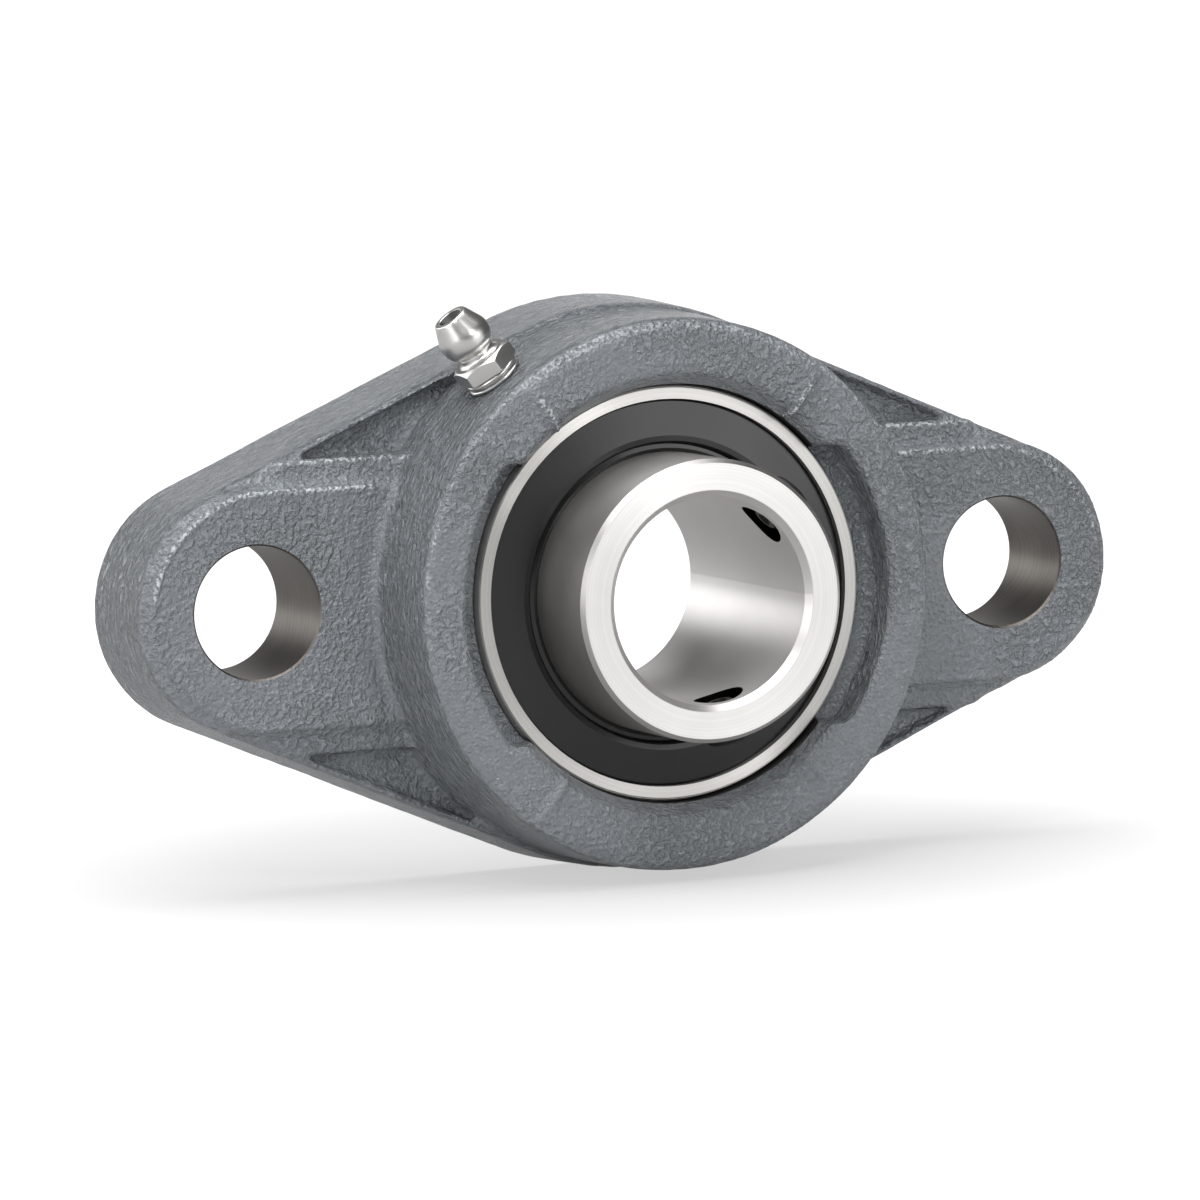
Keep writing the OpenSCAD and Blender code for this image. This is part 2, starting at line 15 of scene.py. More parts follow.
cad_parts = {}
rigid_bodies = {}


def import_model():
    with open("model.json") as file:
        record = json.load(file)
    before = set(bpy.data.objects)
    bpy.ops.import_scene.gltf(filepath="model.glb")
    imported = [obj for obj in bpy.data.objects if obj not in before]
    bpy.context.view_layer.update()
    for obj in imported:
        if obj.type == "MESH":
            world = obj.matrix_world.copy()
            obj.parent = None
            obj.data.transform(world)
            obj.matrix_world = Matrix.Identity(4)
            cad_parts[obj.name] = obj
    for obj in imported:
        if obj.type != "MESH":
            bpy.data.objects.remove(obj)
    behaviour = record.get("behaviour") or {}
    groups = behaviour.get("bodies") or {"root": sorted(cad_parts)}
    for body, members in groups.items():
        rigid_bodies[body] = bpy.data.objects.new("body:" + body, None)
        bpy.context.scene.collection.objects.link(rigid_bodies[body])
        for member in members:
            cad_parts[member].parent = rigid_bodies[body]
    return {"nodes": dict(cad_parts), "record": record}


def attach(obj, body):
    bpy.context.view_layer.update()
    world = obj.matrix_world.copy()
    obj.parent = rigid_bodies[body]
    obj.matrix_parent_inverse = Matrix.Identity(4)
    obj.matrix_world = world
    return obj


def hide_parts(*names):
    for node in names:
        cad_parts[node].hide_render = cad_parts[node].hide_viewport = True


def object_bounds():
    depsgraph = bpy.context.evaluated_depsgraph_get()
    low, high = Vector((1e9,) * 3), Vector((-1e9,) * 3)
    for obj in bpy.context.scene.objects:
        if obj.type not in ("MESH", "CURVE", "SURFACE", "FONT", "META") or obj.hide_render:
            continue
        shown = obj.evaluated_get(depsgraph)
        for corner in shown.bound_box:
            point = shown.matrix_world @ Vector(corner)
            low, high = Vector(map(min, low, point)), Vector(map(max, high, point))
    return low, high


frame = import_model()
cad_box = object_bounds()
print("nodes:", len(frame["nodes"]), "box in mm:", [[round(1000 * v, 2) for v in c] for c in cad_box])

# %% [markdown]
# ## Units
# The model is in metres and stands on its long edge, with the shaft along Y and the nose towards
# -Y. Sizes below are written in millimetres, because that is how the real part is drawn, and MM
# turns them into metres. A height is a distance from the mounting face towards the nose.

# %% Units
MM = 0.001
print("one millimetre is", MM, "in the model's units")

# %% [markdown]
# ## Camera
# The photograph was taken with a long lens from the left and a little above. The eye point, the
# three angles and the focal length come from fitting the outlines of the rings, the holes and the
# flange, and are written as numbers, so that nothing has to be searched for while the script runs.

# %% Camera
PICTURE = 1200         # width and height of the photograph in pixels
SENSOR = 36.0
eye = Vector((-0.43083, -0.97440, 0.10392))
turn, tilt, roll = -0.417370, 0.099828, -0.025446
focal_pixels = 8726.6
back = Vector((math.sin(turn) * math.cos(tilt), -math.cos(turn) * math.cos(tilt), math.sin(tilt)))
level = (-back).cross(Vector((0, 0, 1))).normalized()
upright = level.cross(-back)
across = math.cos(roll) * level + math.sin(roll) * upright
upward = -math.sin(roll) * level + math.cos(roll) * upright
lens = bpy.data.cameras.new("long_lens")
lens.sensor_width = SENSOR
lens.lens = focal_pixels / PICTURE * SENSOR
lens.clip_start = 0.01
camera = bpy.data.objects.new("camera", lens)
camera.matrix_world = Matrix([[across[i], upward[i], back[i], eye[i]] for i in range(3)] + [[0, 0, 0, 1]])
bpy.context.collection.objects.link(camera)
bpy.context.scene.camera = camera
bpy.context.scene.view_settings.view_transform = "Standard"
print("lens in mm:", round(lens.lens, 1), "distance in mm:", round(1000 * eye.length))

# %% [markdown]
# ## Node helper
# Materials are built from shader nodes. One small function adds a node: settings are its own
# properties, and each input is given either a value or the output that feeds it.

# %% Helpers for materials
def linear(hex_colour):
    """Turns an sRGB hex colour, such as #5f676c, into the linear colour that a shader wants."""
    parts = [int(hex_colour[i:i + 2], 16) / 255 for i in (1, 3, 5)]
    return tuple(c / 12.92 if c <= 0.04045 else ((c + 0.055) / 1.055) ** 2.4 for c in parts) + (1.0,)


def add(tree, kind, inputs=None, **settings):
    """Adds one node. inputs maps an input's name or number to a value or to an output socket."""
    made = tree.nodes.new(kind)
    for name, value in settings.items():
        setattr(made, name, value)
    for name, value in (inputs or {}).items():
        if isinstance(value, bpy.types.NodeSocket):
            tree.links.new(value, made.inputs[name])
        else:
            made.inputs[name].default_value = value
    return made


def start(name):
    """A new material with its tree, its shader and the piece's own coordinates in metres."""
    made = bpy.data.materials.new(name)
    made.use_nodes = True
    tree = made.node_tree
    where = add(tree, "ShaderNodeTexCoord").outputs["Object"]
    return made, tree, tree.nodes["Principled BSDF"], where


print("node helpers ready")

# %% [markdown]
# ## Floor
# The object stands on a pale sheet of paper. To the lamps the sheet is plain matt white, which
# keeps the soft shadow. To the camera and to metal it also gives a little light of its own, less
# close to the object, which paints a soft shadow there and keeps the shadow near the object, and
# nearly full further out, so that the sheet melts into the white behind it. A sheet without that
# light would show its far edge. Metal sees it darker on the left, a painted shade like a studio's unlit
# side.

# %% Floor
floor_z = cad_box[0][2]
SHEET_HALF = 6.0       # half of the sheet's side, in metres
GLOW_NEAR, GLOW_FAR = 0.57, 0.97         # its own light close to the object, lowered there as a painted shadow, and further out
GLOW_FROM, GLOW_TO = 0.05, 0.13          # distances, in metres, between which the glow grows
PAINTED_SHADE_SHARE = 0.4      # painted shade: the share of the glow that metal sees on the left
PAINTED_SHADE_FROM, PAINTED_SHADE_TO = 0.02, 0.12        # places along X, in metres, between which it becomes full


def make_paper():
    """Matt white where light falls on it, with some light of its own for the camera and metal, lowered near
    the object as a painted shadow and on the left as painted shade for metal.
    """
    paper = bpy.data.materials.new("white_paper")
    paper.use_nodes = True
    tree = paper.node_tree
    tree.nodes.clear()
    rays = add(tree, "ShaderNodeLightPath").outputs
    seen = add(tree, "ShaderNodeMath", {0: rays["Is Camera Ray"], 1: rays["Is Glossy Ray"]},
               operation="MAXIMUM")
    seen = add(tree, "ShaderNodeMath", {0: seen.outputs[0], 1: rays["Is Transmission Ray"]},
               operation="MAXIMUM")
    where = add(tree, "ShaderNodeTexCoord").outputs["Object"]
    away = add(tree, "ShaderNodeVectorMath", {0: where}, operation="LENGTH")
    # painted shadow: the sheet's own light is lower close to the object
    glow_with_painted_shadow = add(tree, "ShaderNodeMapRange", {"Value": away.outputs["Value"], "From Min": GLOW_FROM,
                                             "From Max": GLOW_TO, "To Min": GLOW_NEAR, "To Max": GLOW_FAR},
                interpolation_type="SMOOTHSTEP")
    side = add(tree, "ShaderNodeSeparateXYZ", {0: where})
    # painted shade: metal sees the sheet darker on the left
    painted_shade_left = add(tree, "ShaderNodeMapRange", {"Value": side.outputs["X"], "From Min": PAINTED_SHADE_FROM,
                                             "From Max": PAINTED_SHADE_TO, "To Min": PAINTED_SHADE_SHARE})
    mirrored = add(tree, "ShaderNodeMix", {"Factor": rays["Is Glossy Ray"], "A": 1.0, "B": painted_shade_left.outputs[0]},
                   data_type="FLOAT")
    strength = add(tree, "ShaderNodeMath", {0: glow_with_painted_shadow.outputs[0], 1: mirrored.outputs["Result"]},
                   operation="MULTIPLY")
    matt = add(tree, "ShaderNodeBsdfDiffuse", {"Color": linear("#e2e2e2")})
    dim = add(tree, "ShaderNodeBsdfDiffuse", {"Color": linear("#787878")})
    glow = add(tree, "ShaderNodeEmission", {"Color": linear("#ffffff"), "Strength": strength.outputs[0]})
    both = add(tree, "ShaderNodeAddShader", {0: dim.outputs[0], 1: glow.outputs[0]})
    mixed = add(tree, "ShaderNodeMixShader", {0: seen.outputs[0], 1: matt.outputs[0], 2: both.outputs[0]})
    add(tree, "ShaderNodeOutputMaterial", {"Surface": mixed.outputs[0]})
    return paper


shape = bmesh.new()
bmesh.ops.create_grid(shape, x_segments=1, y_segments=1, size=SHEET_HALF)
bmesh.ops.translate(shape, verts=shape.verts, vec=(0, 0, floor_z))
sheet = bpy.data.objects.new("floor", bpy.data.meshes.new("floor"))
shape.to_mesh(sheet.data)
shape.free()
bpy.context.collection.objects.link(sheet)
sheet.data.materials.append(make_paper())
print("floor at", round(1000 * floor_z, 2), "mm")

# %% [markdown]
# ## World
# The world is white to the camera, and a plain soft grey light to the matt pieces. Metal sees a
# dark room with a few bright sides instead, because metal without something dark to mirror looks
# like paper. Panels could stand round the object for this, but they would throw shadows and show
# from other sides. A bright side that is only a direction in the world does neither.

# %% World
AMBIENT = 0.42         # light on matt pieces
ROOM_DARK = 0.10       # light of the room between its bright sides
# each bright side: its direction, the cosines at which it starts and is full, its strength
ROOM_LIGHTS = [
    ((0.60, -0.78, 0.10), 0.86, 0.99, 1.18),     # in front, on the right
    ((-0.45, 0.88, 0.05), 0.72, 1.0, 0.28),      # behind on the left, wide and faint
    ((-0.42, 0.90, 0.04), 0.93, 0.995, 1.5),     # its bright middle
    ((-0.88, 0.46, 0.0), 0.75, 0.98, 2.4),       # on the left
    ((0.36, 0.92, 0.14), 0.93, 0.99, 0.8),       # behind, on the right
]


def make_world():
    """White for the camera, plain soft light for matt pieces, a shaded room for metal."""
    world = bpy.data.worlds.new("studio")
    bpy.context.scene.world = world
    world.use_nodes = True
    tree = world.node_tree
    tree.nodes.clear()
    rays = add(tree, "ShaderNodeLightPath").outputs
    toward = add(tree, "ShaderNodeTexCoord").outputs["Generated"]
    strength = ROOM_DARK
    for aim, start_at, full_at, power in ROOM_LIGHTS:
        side = add(tree, "ShaderNodeVectorMath", {0: toward, 1: Vector(aim).normalized()},
                   operation="DOT_PRODUCT")
        part = add(tree, "ShaderNodeMapRange", {"Value": side.outputs["Value"], "From Min": start_at,
                                                "From Max": full_at}, interpolation_type="SMOOTHSTEP")
        strength = add(tree, "ShaderNodeMath", {0: part.outputs[0], 1: power, 2: strength},
                       operation="MULTIPLY_ADD").outputs[0]
    room = add(tree, "ShaderNodeBackground", {"Color": linear("#ffffff"), "Strength": strength})
    plain = add(tree, "ShaderNodeBackground", {"Color": linear("#ffffff"), "Strength": AMBIENT})
    white = add(tree, "ShaderNodeBackground", {"Color": linear("#ffffff"), "Strength": 1.0})
    mirrored = add(tree, "ShaderNodeMath", {0: rays["Is Glossy Ray"], 1: rays["Is Transmission Ray"]},
                   operation="MAXIMUM")
    for_metal = add(tree, "ShaderNodeMixShader", {0: mirrored.outputs[0], 1: plain.outputs[0],
                                                  2: room.outputs[0]})
    for_eye = add(tree, "ShaderNodeMixShader", {0: rays["Is Camera Ray"], 1: for_metal.outputs[0],
                                                2: white.outputs[0]})
    add(tree, "ShaderNodeOutputWorld", {"Surface": for_eye.outputs[0]})


make_world()
print("world light for matt pieces:", AMBIENT)

# %% [markdown]
# ## Lamps
# Five soft boxes light the object. A large one overhead draws the bright top and the light lines
# along the upper edges. A small one at the upper left lights the faces at a slant, so that the
# grain of the casting shows, and a still smaller one in front makes the ridges and the steel
# sparkle. One in front on the right fills the faces, and one on the left keeps the sides of the
# lug and of the boss from going dark. Each is an area lamp that looks at the middle of the object.

# %% Lamps
AIM_AT = Vector((0, -0.015, 0))


def soft_box(name, place, size, power):
    """An area lamp at a place in metres that faces the object."""
    light = bpy.data.lights.new(name, "AREA")
    light.shape = "RECTANGLE"
    light.size, light.size_y = size
    light.energy = power
    lamp = bpy.data.objects.new(name, light)
    facing = (AIM_AT - Vector(place)).to_track_quat("-Z", "Y")
    lamp.matrix_world = Matrix.Translation(place) @ facing.to_matrix().to_4x4()
    bpy.context.collection.objects.link(lamp)


soft_box("box_overhead", (-0.15, -0.10, 0.95), (1.1, 1.0), 17.0)
soft_box("box_key", (-0.75, -1.0, 0.95), (0.3, 0.3), 6.2)
soft_box("box_spark", (0.17, -1.22, 0.66), (0.15, 0.15), 3.4)
soft_box("box_front", (0.75, -1.35, 0.30), (0.7, 0.6), 2.2)
soft_box("box_left", (-1.15, -0.45, 0.25), (0.7, 0.7), 5.5)

# %% [markdown]
# ## Cast iron under grey enamel
# The housing is cast in sand and sprayed with a grey alkyd enamel. The sand leaves a skin of
# small round bumps about a millimetre across, and the enamel fills the finest of them and shines
# on their tops. The bumps could be modelled, but that would take millions of faces, so they are
# drawn: coarse over fine, with a slow mask that makes them stronger in some places than in
# others. On the walls they run together into short streaks that follow the outline.
# The ridges that the mould leaves catch the light, so the casting carries an attribute for them,
# and the paint is lighter where it says so: a painted highlight.

# %% Enamel on cast iron
LUMPS = 1.3            # bumps to a millimetre
SPECKS = 2.3           # fine bumps to a millimetre
PATCHES = 0.045        # patches of stronger and weaker bumps to a millimetre
STREAKS = Vector((0.62, 1.5, 0.62))      # streaks to a millimetre along X, Y and Z
SKIN_DEPTH = 0.55      # deeper than the real skin, which would hardly show at this size


def sand_skin(tree, where):
    """The height of the skin, with the mask and the specks that it is made from."""
    worms = add(tree, "ShaderNodeTexNoise", {"Vector": where, "Scale": LUMPS / MM, "Detail": 3.0,
                                             "Roughness": 0.55, "Distortion": 0.15})
    specks = add(tree, "ShaderNodeTexNoise", {"Vector": where, "Scale": SPECKS / MM, "Detail": 1.0})
    mask = add(tree, "ShaderNodeTexNoise", {"Vector": where, "Scale": PATCHES / MM, "Detail": 2.0})
    strong = add(tree, "ShaderNodeMapRange", {"Value": mask.outputs[0], "From Min": 0.42, "From Max": 0.62,
                                              "To Min": 0.12, "To Max": 0.95})
    lumps = add(tree, "ShaderNodeMapRange", {"Value": worms.outputs[0], "From Min": 0.36, "From Max": 0.66},
                interpolation_type="SMOOTHSTEP")
    flats = add(tree, "ShaderNodeMath", {0: lumps.outputs[0], 1: strong.outputs[0]}, operation="MULTIPLY")
    flats = add(tree, "ShaderNodeMath", {0: specks.outputs[0], 1: 0.5, 2: flats.outputs[0]},
                operation="MULTIPLY_ADD")
    pulled = add(tree, "ShaderNodeMapping", {"Vector": where, "Scale": STREAKS / MM}).outputs[0]
    streaks = add(tree, "ShaderNodeTexNoise", {"Vector": pulled, "Scale": 1.0, "Detail": 3.0,
                                               "Roughness": 0.6, "Distortion": 0.8})
    walls = add(tree, "ShaderNodeMapRange", {"Value": streaks.outputs[0], "From Min": 0.36,
                                             "From Max": 0.64, "To Max": 1.2})
    facing = add(tree, "ShaderNodeSeparateXYZ", {0: where.node.outputs["Normal"]})
    facing = add(tree, "ShaderNodeMath", {0: facing.outputs["Y"]}, operation="ABSOLUTE")
    facing = add(tree, "ShaderNodeMapRange", {"Value": facing.outputs[0], "From Min": 0.35,
                                              "From Max": 0.8}, interpolation_type="SMOOTHSTEP")
    skin = add(tree, "ShaderNodeMix", {"Factor": facing.outputs[0], "A": walls.outputs[0],
                                       "B": flats.outputs[0]}, data_type="FLOAT")
    return skin.outputs["Result"], mask.outputs[0], specks.outputs[0]


def make_cast_paint():
    """Satin grey enamel over a sand-cast skin, painted lighter on the tops of bumps and on ridges as
    highlights.
    """
    made, tree, shader, where = start("enamel_on_sand_casting")
    skin, mask, specks = sand_skin(tree, where)
    bump = add(tree, "ShaderNodeBump", {"Height": skin, "Strength": 1.0, "Distance": SKIN_DEPTH * MM})
    # painted highlight and shade: the colour is lighter on the tops of the bumps and darker in their pits
    tint = add(tree, "ShaderNodeValToRGB", {0: skin})
    for stop, place, colour in zip(tint.color_ramp.elements, (0.1, 0.7), ("#5b5f63", "#6c7074")):
        stop.position = place
        stop.color = linear(colour)
    rough = add(tree, "ShaderNodeMapRange", {"Value": mask, "To Min": 0.13, "To Max": 0.22})
    # painted highlight: lighter paint along the ridges and the edge of the boss face, broken up by the
    # specks
    crest_highlight = add(tree, "ShaderNodeAttribute", attribute_name="crest_highlight").outputs["Fac"]
    broken = add(tree, "ShaderNodeMapRange", {"Value": specks, "From Min": 0.42, "From Max": 0.6,
                                              "To Min": 0.25, "To Max": 1.0})
    bright = add(tree, "ShaderNodeMath", {0: crest_highlight, 1: broken.outputs[0]}, operation="MULTIPLY")
    bright = add(tree, "ShaderNodeMapRange", {"Value": bright.outputs[0], "From Min": 0.3, "From Max": 0.9})
    paint = add(tree, "ShaderNodeMix", {"Factor": bright.outputs[0], "A": tint.outputs[0],
                                        "B": linear("#a9aeb1")}, data_type="RGBA")
    tree.links.new(paint.outputs["Result"], shader.inputs["Base Color"])
    tree.links.new(rough.outputs[0], shader.inputs["Roughness"])
    tree.links.new(bump.outputs[0], shader.inputs["Normal"])
    return made


cast_paint = make_cast_paint()
print("made", cast_paint.name)

# %% [markdown]
# ## Machined and turned metal
# A cutting tool leaves fine rings round the axis it turned about. Steel that was turned or ground
# like this stretches each highlight across the rings, which Blender draws with anisotropy and a
# tangent that runs round the axis. Single tool marks are far finer than a pixel here, so they are
# drawn about a third of a millimetre apart, faint, by noise that follows the distance from the
# axis, and along the axis on walls. The inner ring's bore and outside are painted darker than its
# wide front face as shade, and each set screw's hole in its bore is painted dark as shade, so the
# colour also knows the distance from the axis and from each screw.

# %% Turned metal
INNER_R, BORE_R = 17.0, 12.5             # outside and bore of the inner ring
SCREW_ANGLES = (43.0, -77.0)
SCREW_Y = 30.8         # height of the set screws
SCREW_HOLE_R = 3.0
CLOUDS = 0.12          # slow clouds of colour to a millimetre


def screw_hole(tree, where, angle):
    """1 inside the hole of the set screw at an angle, 0 outside it."""
    aim = Vector((math.cos(math.radians(angle)), 0, math.sin(math.radians(angle))))
    moved = add(tree, "ShaderNodeVectorMath", {0: where, 1: Vector((0, SCREW_Y * MM, 0))}, operation="ADD")
    along = add(tree, "ShaderNodeVectorMath", {0: moved.outputs[0], 1: aim}, operation="DOT_PRODUCT")
    foot = add(tree, "ShaderNodeVectorMath", {0: aim, "Scale": along.outputs["Value"]}, operation="SCALE")
    apart = add(tree, "ShaderNodeVectorMath", {0: moved.outputs[0], 1: foot.outputs[0]},
                operation="DISTANCE")
    hole = add(tree, "ShaderNodeMapRange", {"Value": apart.outputs["Value"],
                                            "From Min": (SCREW_HOLE_R + 0.08) * MM,
                                            "From Max": (SCREW_HOLE_R + 0.03) * MM})
    ahead = add(tree, "ShaderNodeMath", {0: along.outputs["Value"], 1: 0.0}, operation="GREATER_THAN")
    return add(tree, "ShaderNodeMath", {0: hole.outputs[0], 1: ahead.outputs[0]},
               operation="MULTIPLY").outputs[0]


def turned_metal(name, low, high, roughness, pitch_mm, depth, stretch, shade_zones=(), shaded_holes=()):
    """Metal turned about the shaft: colour between low and high, rings pitch_mm apart, with painted shade in
    zones and holes.
    """
    made, tree, shader, where = start(name)
    split = add(tree, "ShaderNodeSeparateXYZ", {0: where}).outputs
    flat = add(tree, "ShaderNodeCombineXYZ", {0: split["X"], 2: split["Z"]})
    radius = add(tree, "ShaderNodeVectorMath", {0: flat.outputs[0]}, operation="LENGTH").outputs["Value"]
    both = add(tree, "ShaderNodeMath", {0: radius, 1: split["Y"]}, operation="ADD")
    line = add(tree, "ShaderNodeCombineXYZ", {0: both.outputs[0]})
    marks = add(tree, "ShaderNodeTexNoise", {"Vector": line.outputs[0], "Scale": 1 / (pitch_mm * MM),
                                             "Detail": 3.0, "Roughness": 0.7})
    cloud = add(tree, "ShaderNodeTexNoise", {"Vector": where, "Scale": CLOUDS / MM, "Detail": 2.0})
    mixed = add(tree, "ShaderNodeMath", {0: cloud.outputs[0], 1: 0.4, 2: marks.outputs[0]},
                operation="MULTIPLY_ADD")
    tint = add(tree, "ShaderNodeValToRGB", {0: mixed.outputs[0]})
    for stop, place, colour in zip(tint.color_ramp.elements, (0.45, 0.95), (low, high)):
        stop.position = place
        stop.color = linear(colour)
    colour = tint.outputs[0]
    # painted shade: darker colour between given distances from the axis
    for outer, inner, shade in shade_zones:
        within = add(tree, "ShaderNodeMapRange", {"Value": radius, "From Min": outer * MM,
                                                  "From Max": inner * MM})
        colour = add(tree, "ShaderNodeMix", {"Factor": within.outputs[0], "A": colour, "B": linear(shade)},
                     data_type="RGBA").outputs["Result"]
    # painted shade: each set screw's hole is dark
    for angle in shaded_holes:
        hole = screw_hole(tree, where, angle)
        colour = add(tree, "ShaderNodeMix", {"Factor": hole, "A": colour, "B": linear("#141210")},
                     data_type="RGBA").outputs["Result"]
    rough = add(tree, "ShaderNodeMapRange", {"Value": mixed.outputs[0], "From Min": 0.4, "From Max": 1.0,
                                             "To Min": roughness * 0.85, "To Max": roughness * 1.15})
    bump = add(tree, "ShaderNodeBump", {"Height": marks.outputs[0], "Strength": 1.0, "Distance": depth * MM})
    around = add(tree, "ShaderNodeTangent", direction_type="RADIAL", axis="Y")
    shader.inputs["Metallic"].default_value = 1.0
    shader.inputs["Anisotropic"].default_value = stretch
    shader.inputs["Anisotropic Rotation"].default_value = 0.25
    tree.links.new(colour, shader.inputs["Base Color"])
    tree.links.new(rough.outputs[0], shader.inputs["Roughness"])
    tree.links.new(bump.outputs[0], shader.inputs["Normal"])
    tree.links.new(around.outputs[0], shader.inputs["Tangent"])
    return made


# iron that was bored and left bare: brown-grey, rough, with marks that can be felt
bare_iron = turned_metal("bored_grey_iron", "#37332f", "#78736e", 0.42, 0.35, 0.006, 0.3)
# bearing steel that was ground: pale and even, with a long soft highlight across the rings
ground_steel = turned_metal("ground_bearing_steel", "#bebcb9", "#dad8d5", 0.38, 0.3, 0.002, 0.85)
# bearing steel that was turned: almost white on the front face, with painted shade in the bore and outside
INNER_PAINTED_SHADE = [(BORE_R + 0.9, BORE_R + 0.8, "#cecccb"), (INNER_R - 0.55, INNER_R - 0.45, "#a8a6a4")]
turned_steel = turned_metal("turned_bearing_steel", "#cccac8", "#e8e7e5", 0.42, 0.35, 0.002, 0.55,
                            INNER_PAINTED_SHADE, SCREW_ANGLES)
print("made", bare_iron.name, ground_steel.name, turned_steel.name)

# %% [markdown]
# ## Dark and bright small parts
# The shields are pressed sheet with a black phosphate coat, the seal lips nitrile rubber with
# grease on it, the set screws black oxide steel, and the grease nipple nickel plate. Seen at this
# size they differ in colour, shine and a grain that is hardly there, so one recipe draws them
# all: two close colours in slow clouds, a roughness that varies with them, and a fine bump.

# %% Plain coats
STAINS = 0.14          # slow clouds of a coat to a millimetre


def coat(name, colour, second, roughness, metallic, grain_mm, depth, shine=0.5):
    """A coat with a fine grain: two close colours, one roughness that varies a little."""
    made, tree, shader, where = start(name)
    grain = add(tree, "ShaderNodeTexNoise", {"Vector": where, "Scale": 1 / (grain_mm * MM), "Detail": 2.0})
    cloud = add(tree, "ShaderNodeTexNoise", {"Vector": where, "Scale": STAINS / MM, "Detail": 1.0})
    tint = add(tree, "ShaderNodeMix", {"Factor": cloud.outputs[0], "A": linear(colour), "B": linear(second)},
               data_type="RGBA")
    rough = add(tree, "ShaderNodeMapRange", {"Value": cloud.outputs[0], "To Min": roughness * 0.8,
                                             "To Max": roughness * 1.2})
    bump = add(tree, "ShaderNodeBump", {"Height": grain.outputs[0], "Strength": 1.0, "Distance": depth * MM})
    shader.inputs["Metallic"].default_value = metallic
    shader.inputs["Specular IOR Level"].default_value = shine
    tree.links.new(tint.outputs["Result"], shader.inputs["Base Color"])
    tree.links.new(rough.outputs[0], shader.inputs["Roughness"])
    tree.links.new(bump.outputs[0], shader.inputs["Normal"])
    return made


# near black, fine-grained, with a soft sheen
shield_coat = coat("black_phosphate_on_pressed_sheet", "#0e0e0f", "#151516", 0.24, 0.0, 0.25, 0.002)
# black and wet-looking, so that the lip shows as a bright line
seal_rubber = coat("greased_nitrile_rubber", "#0c0c0c", "#121212", 0.16, 0.0, 0.6, 0.004)
# black and dull
black_oxide = coat("black_oxide_steel", "#090909", "#111111", 0.4, 0.0, 0.3, 0.004, 0.25)
# bright and a little warm, with a soft mirror
nickel = coat("nickel_plate", "#c4c3c1", "#d2d1cf", 0.3, 1.0, 0.8, 0.003)
# painted shade: near black, for the thin gap round the outer ring and the nipple's recess
painted_shade_coat = coat("painted_shade_black", "#0b0b0b", "#141312", 0.5, 0.0, 0.5, 0.004)
# a clean mirror
polished_steel = coat("lapped_ball_steel", "#cfcfcf", "#dadada", 0.07, 1.0, 1.5, 0.001)
# grey sheet steel with a dull shine
cage_steel = coat("pressed_cage_steel", "#8d8b88", "#a19f9c", 0.32, 1.0, 0.4, 0.006)
# grey wire with a clear shine
spring_steel = coat("drawn_spring_wire", "#9a9894", "#aaa8a4", 0.25, 1.0, 0.3, 0.003)
print("materials, with those of the packed model:", len(bpy.data.materials))

# %% [markdown]
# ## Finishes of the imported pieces
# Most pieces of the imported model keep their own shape. Each gets the finish of its material slot,
# so that the slot decides and no piece is forgotten.

# %% Give each CAD piece its finish
FINISH = {
    "cast_paint": cast_paint, "ground_steel": ground_steel, "turned_steel": turned_steel,
    "ball_steel": polished_steel, "pressed_steel": cage_steel, "shield_coat": shield_coat,
    "seal_rubber": seal_rubber, "black_oxide": black_oxide, "nickel_plate": nickel,
    "spring_wire": spring_steel,
}
slot_of = {part["node"]: part["material_slot"] for part in frame["record"]["subparts"]}
for name, piece in frame["nodes"].items():
    piece.data.materials.clear()
    piece.data.materials.append(FINISH[slot_of[name]])
print("finished nodes:", len(slot_of))

# %% [markdown]
# ## Shape helpers
# Most machined shapes here are lathe work: a line of points spun about the shaft. The others are
# made by adding one body to another or taking it away, as a cutter does.

# %% Helpers for shapes
SHARP_FROM = 38.0      # an edge that turns by more degrees than this looks sharp
WELD = 1e-7            # points of a spun body that are closer than this, in metres, are one


def to_object(shape, name, materials):
    """Turns a bmesh into an object with smooth faces and sharp edges where it turns quickly."""
    mesh = bpy.data.meshes.new(name)
    for face in shape.faces:
        face.smooth = True
    for edge in shape.edges:
        edge.smooth = edge.calc_face_angle(0.0) < math.radians(SHARP_FROM)
    shape.to_mesh(mesh)
    shape.free()
    for material in materials:
        mesh.materials.append(material)
    made = bpy.data.objects.new(name, mesh)
    bpy.context.collection.objects.link(made)
    return made


def turned(profile, steps=96, x=0.0, closed=False):
    """Spins a line of (radius, height) points in millimetres about the shaft, moved along X."""
    shape = bmesh.new()
    line = [shape.verts.new((r * MM, -h * MM, 0)) for r, h in profile]
    following = line[1:] + line[:1] if closed else line[1:]
    edges = [shape.edges.new(pair) for pair in zip(line, following)]
    bmesh.ops.spin(shape, geom=line + edges, cent=(0, 0, 0), axis=(0, 1, 0), angle=math.tau, steps=steps,
                   use_merge=True)
    bmesh.ops.remove_doubles(shape, verts=shape.verts, dist=WELD)
    bmesh.ops.translate(shape, verts=shape.verts, vec=(x * MM, 0, 0))
    bmesh.ops.recalc_face_normals(shape, faces=shape.faces)
    return shape


def settle(piece):
    """Applies the modifiers of a piece, so that its mesh is what they make of it."""
    shown = piece.evaluated_get(bpy.context.evaluated_depsgraph_get())
    mesh = bpy.data.meshes.new_from_object(shown)
    piece.modifiers.clear()
    old = piece.data
    piece.data = mesh
    bpy.data.meshes.remove(old)


def combine(piece, other, operation):
    """Adds, keeps or takes away another body, which is then gone."""
    step = piece.modifiers.new("combine", "BOOLEAN")
    step.operation = operation
    step.object = other
    step.solver = "EXACT"
    settle(piece)
    bpy.data.objects.remove(other)


print("shape helpers ready")

